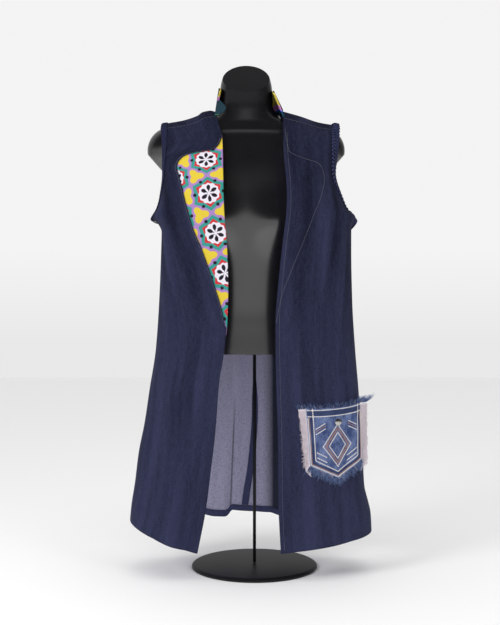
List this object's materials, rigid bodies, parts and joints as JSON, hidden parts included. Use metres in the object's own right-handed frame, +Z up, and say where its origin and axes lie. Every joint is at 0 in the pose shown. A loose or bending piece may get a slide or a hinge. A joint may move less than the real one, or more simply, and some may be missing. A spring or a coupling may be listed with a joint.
{
  "type": "denim vest on a black torso dress form",
  "caption": "Long sleeveless open-front denim vest with a printed lapel, a stand collar and a frayed patch pocket, worn by a smooth black torso form on a rod and base.",
  "frame": {"origin": "centre of the round base's underside, on the floor", "axes": "+Z up along the stand's rod, the open front faces -Y, +X is the wearer's left"},
  "size_m": [0.5054, 0.262, 1.0495],
  "materials": {
    "denim": "dark indigo twill, matt",
    "denim_trim": "dark indigo twill, turned and stitched",
    "printed_cotton": "printed plain-weave cotton, matt",
    "washed_denim": "mid-blue washed twill, matt",
    "raw_denim": "pale raw twill edge, fuzzy",
    "denim_fringe": "frayed blue threads",
    "stud_metal": "silver dome stud",
    "form_shell": "glossy black moulded shell",
    "stand_metal": "black painted steel"
  },
  "bodies": {
    "root": {"front_right": "denim", "front_left": "denim", "back_right": "denim", "back_left": "denim", "lapel_print": "printed_cotton", "collar_denim": "denim", "collar_print": "printed_cotton", "collar_corner": "printed_cotton", "armhole_band_right": "denim_trim", "armhole_band_left": "denim_trim", "back_hem_band": "denim_trim", "centre_back_seam": "denim_trim", "pocket_patch": "washed_denim", "pocket_strip_front": "raw_denim", "pocket_strip_side": "raw_denim", "pocket_fringe_top": "denim_fringe", "pocket_fringe_bottom": "denim_fringe", "pocket_stud": "stud_metal", "form_torso": "form_shell", "form_rod": "stand_metal", "form_base": "stand_metal"}
  },
  "joints": []
}
